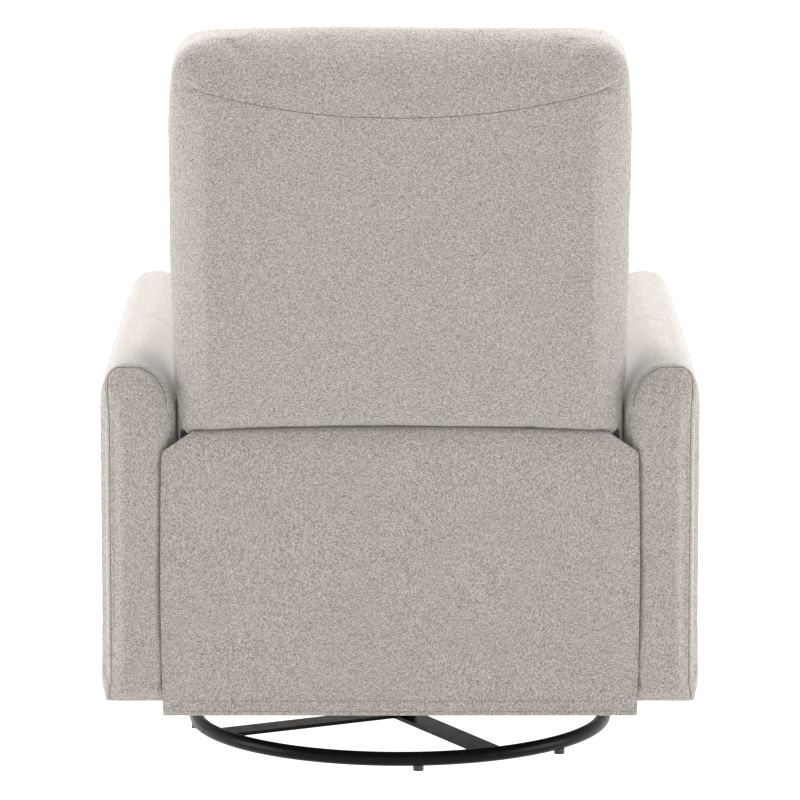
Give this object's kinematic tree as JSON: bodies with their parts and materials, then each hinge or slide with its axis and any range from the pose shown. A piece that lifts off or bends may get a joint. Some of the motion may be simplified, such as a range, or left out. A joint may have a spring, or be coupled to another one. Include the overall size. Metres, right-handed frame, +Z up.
{
  "type": "glider recliner",
  "caption": "Upholstered swivel glider recliner for a nursery, with a tall reclining back, padded arms, a fold-out footrest and a black tube ring base.",
  "frame": {"origin": "on the floor, on the swivel axis at the centre of the ring base", "axes": "+Z up, the sitter faces -Y, +X is the sitter's left"},
  "size_m": [0.768, 0.9581, 1.0111],
  "materials": {
    "upholstery": "heathered greige woven polyester",
    "webbing": "woven webbing",
    "black_enamel": "gloss powder coat",
    "mechanism_black": "satin",
    "zinc_steel": "zinc plated",
    "polished_steel": "polished",
    "spring_steel": "oil tempered wire",
    "plywood": "raw plywood",
    "black_plastic": "matte",
    "white_plastic": "acetal"
  },
  "bodies": {
    "base": {"base_ring": "black_enamel", "floor_glides": "black_plastic", "crossbar_long": "black_enamel", "crossbar_short_left": "black_enamel", "crossbar_short_right": "black_enamel", "pedestal": "black_enamel", "swivel_lower_plate": "mechanism_black", "ball_race": "white_plastic", "swivel_balls": "polished_steel", "king_bolt": "zinc_steel"},
    "swivel_frame": {"swivel_upper_plate": "mechanism_black", "glide_cross_front": "mechanism_black", "glide_cross_rear": "mechanism_black", "glide_rail_left": "mechanism_black", "glide_rail_right": "mechanism_black", "glide_plate_left": "mechanism_black", "glide_plate_right": "mechanism_black"},
    "front_hangers": {"front_hanger_left": "mechanism_black", "front_hanger_right": "mechanism_black"},
    "rear_hangers": {"rear_hanger_left": "mechanism_black", "rear_hanger_right": "mechanism_black"},
    "seat": {"mech_plate_left": "mechanism_black", "mech_plate_right": "mechanism_black", "mech_tube_front": "mechanism_black", "mech_tube_rear": "mechanism_black", "seat_side_rail_left": "plywood", "seat_side_rail_right": "plywood", "seat_front_rail": "plywood", "seat_spring_rail": "plywood", "seat_rear_rail": "plywood", "seat_springs": "spring_steel", "seat_cushion": "upholstery", "arm_pad_left": "upholstery", "arm_pad_right": "upholstery", "arm_panel_left": "plywood", "arm_panel_right": "plywood", "arm_bolts_left": "zinc_steel", "arm_bolts_right": "zinc_steel", "rear_flap": "upholstery", "release_bracket": "mechanism_black"},
    "back": {"back_shell": "upholstery", "back_cushion": "upholstery", "back_stile_left": "plywood", "back_stile_right": "plywood", "back_bottom_rail": "plywood", "back_top_rail": "plywood", "back_springs": "spring_steel", "back_bracket_left": "mechanism_black", "back_bracket_right": "mechanism_black"},
    "footrest_links": {"footrest_link_left": "mechanism_black", "footrest_link_right": "mechanism_black", "footrest_tube": "mechanism_black"},
    "footrest_arms": {"footrest_arm_left": "mechanism_black", "footrest_arm_right": "mechanism_black"},
    "ottoman": {"footrest_bracket_left": "mechanism_black", "footrest_bracket_right": "mechanism_black", "footrest_board": "plywood", "footrest_pad": "upholstery"},
    "release_lever": {"release_lever": "mechanism_black", "release_loop": "webbing"}
  },
  "joints": [
    {"name": "swivel", "type": "hinge", "parent": "base", "child": "swivel_frame", "pos_m": [0, 0, 0.0703], "axis": [0, 0, 1], "continuous": true},
    {"name": "glide", "type": "hinge", "parent": "swivel_frame", "child": "front_hangers", "pos_m": [0, -0.15, 0.245], "axis": [1, 0, 0], "range_deg": [-18, 18]},
    {"name": "seat_level", "type": "hinge", "parent": "front_hangers", "child": "seat", "pos_m": [0, -0.15, 0.13], "axis": [1, 0, 0], "range_deg": [-18, 18]},
    {"name": "rear_hanger_swing", "type": "hinge", "parent": "swivel_frame", "child": "rear_hangers", "pos_m": [0, 0.15, 0.245], "axis": [1, 0, 0], "range_deg": [-18, 18]},
    {"name": "recline", "type": "hinge", "parent": "seat", "child": "back", "pos_m": [0, 0.31, 0.385], "axis": [-1, 0, 0], "range_deg": [0, 35], "deforming": ["rear_flap"]},
    {"name": "footrest", "type": "hinge", "parent": "seat", "child": "footrest_links", "pos_m": [0, -0.325, 0.295], "axis": [-1, 0, 0], "range_deg": [0, 60]},
    {"name": "footrest_knee", "type": "hinge", "parent": "footrest_links", "child": "footrest_arms", "pos_m": [0, -0.38143, 0.13995], "axis": [-1, 0, 0], "range_deg": [-120, 0]},
    {"name": "footrest_tilt", "type": "hinge", "parent": "footrest_arms", "child": "ottoman", "pos_m": [0, -0.38143, 0.30495], "axis": [-1, 0, 0], "range_deg": [0, 150]},
    {"name": "release_pull", "type": "hinge", "parent": "seat", "child": "release_lever", "pos_m": [-0.281, -0.1, 0.361], "axis": [-1, 0, 0], "range_deg": [0, 20], "stiffness_Nm_per_rad": 1.5}
  ],
  "couplings": [
    {"joint": "seat_level", "follows": "glide", "ratio": -1},
    {"joint": "rear_hanger_swing", "follows": "glide", "ratio": 1},
    {"joint": "footrest_knee", "follows": "footrest", "ratio": -2},
    {"joint": "footrest_tilt", "follows": "footrest", "ratio": 2.5}
  ]
}
